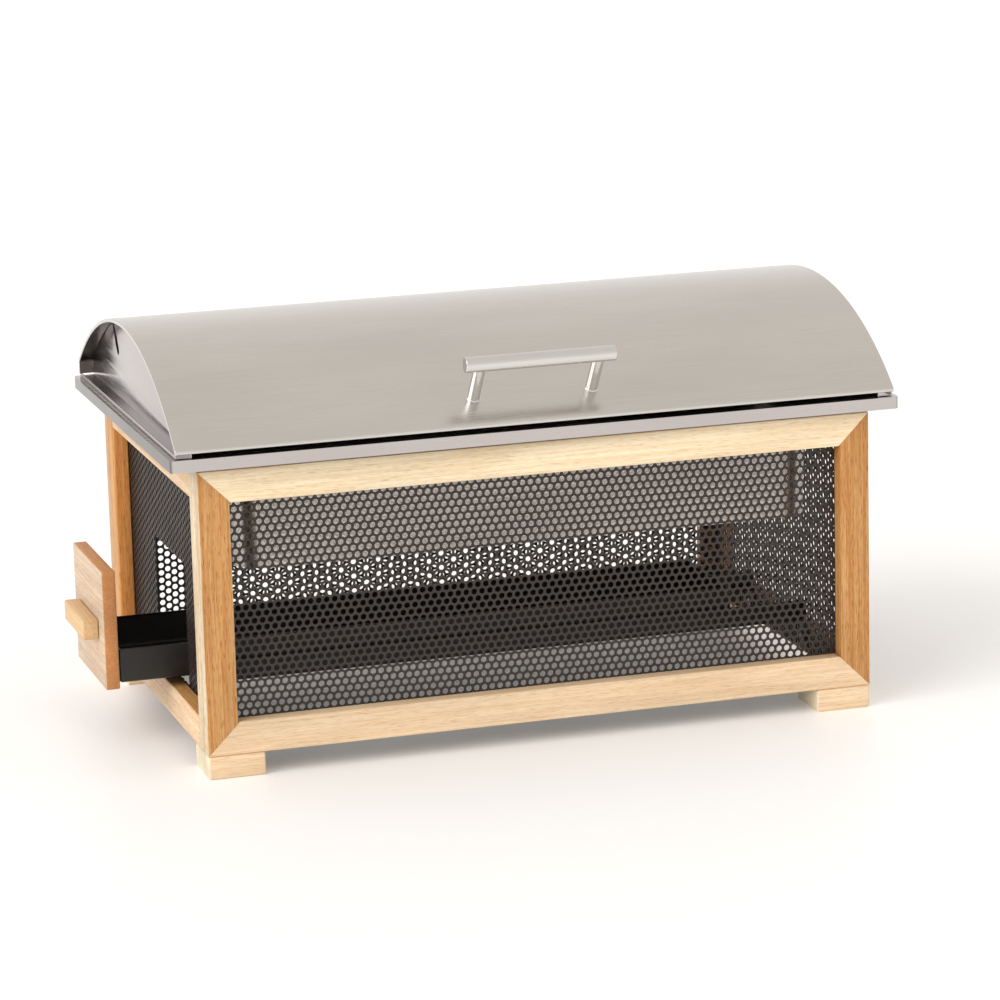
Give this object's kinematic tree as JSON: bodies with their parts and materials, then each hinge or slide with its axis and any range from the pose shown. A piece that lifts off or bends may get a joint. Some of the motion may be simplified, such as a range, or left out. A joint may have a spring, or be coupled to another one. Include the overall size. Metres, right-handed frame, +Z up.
{
  "type": "chafing dish food warmer",
  "caption": "Chafing dish food warmer: oak base with perforated steel panels, fuel drawer at one end, water pan with a food pan, and an arched lid that opens on hinges.",
  "frame": {"origin": "centre of the whole object's box at rest, on the surface it stands on; the drawer is drawn open at rest", "axes": "+X along the length, away from the drawer's end; +Y from the handle's side to the hinges' side; +Z up"},
  "size_m": [0.6284, 0.3666, 0.326],
  "materials": {
    "oak": "oiled",
    "black_steel": "matt powder coat",
    "stainless": "brushed",
    "bright_steel": "satin"
  },
  "bodies": {
    "base": {"front_top_rail": "oak", "front_bottom_rail": "oak", "front_left_stile": "oak", "front_right_stile": "oak", "rear_top_rail": "oak", "rear_bottom_rail": "oak", "rear_left_stile": "oak", "rear_right_stile": "oak", "left_side_top_rail": "oak", "left_side_bottom_rail": "oak", "left_side_front_stile": "oak", "left_side_rear_stile": "oak", "right_side_top_rail": "oak", "right_side_bottom_rail": "oak", "right_side_front_stile": "oak", "right_side_rear_stile": "oak", "foot_front_left": "oak", "foot_front_right": "oak", "foot_rear_left": "oak", "foot_rear_right": "oak", "front_mesh_panel": "black_steel", "rear_mesh_panel": "black_steel", "left_mesh_panel": "black_steel", "right_mesh_panel": "black_steel", "front_runner": "black_steel", "rear_runner": "black_steel", "front_runner_screw_left": "bright_steel", "front_runner_screw_right": "bright_steel", "rear_runner_screw_left": "bright_steel", "rear_runner_screw_right": "bright_steel", "water_pan": "stainless", "food_pan": "stainless", "left_hinge_base_leaf": "bright_steel", "left_hinge_pin": "bright_steel", "right_hinge_base_leaf": "bright_steel", "right_hinge_pin": "bright_steel"},
    "drawer": {"drawer_front": "oak", "drawer_pull": "oak", "drawer_tray": "black_steel", "drawer_front_screw_front": "bright_steel", "drawer_front_screw_rear": "bright_steel", "drawer_pull_screw_front": "bright_steel", "drawer_pull_screw_rear": "bright_steel"},
    "lid": {"lid_shell": "stainless", "lid_left_end_plate": "stainless", "lid_right_end_plate": "stainless", "handle_bar": "bright_steel", "handle_left_post": "bright_steel", "handle_right_post": "bright_steel", "handle_left_screw": "bright_steel", "handle_right_screw": "bright_steel", "left_hinge_lid_leaf": "bright_steel", "right_hinge_lid_leaf": "bright_steel"}
  },
  "joints": [
    {"name": "drawer_slide", "type": "slide", "parent": "base", "child": "drawer", "axis": [-1, 0, 0], "range_m": [-0.0536, 0.3]},
    {"name": "lid_hinge", "type": "hinge", "parent": "base", "child": "lid", "pos_m": [0.02215, 0.18027, 0.2545], "axis": [-1, 0, 0], "range_deg": [0, 90]}
  ]
}
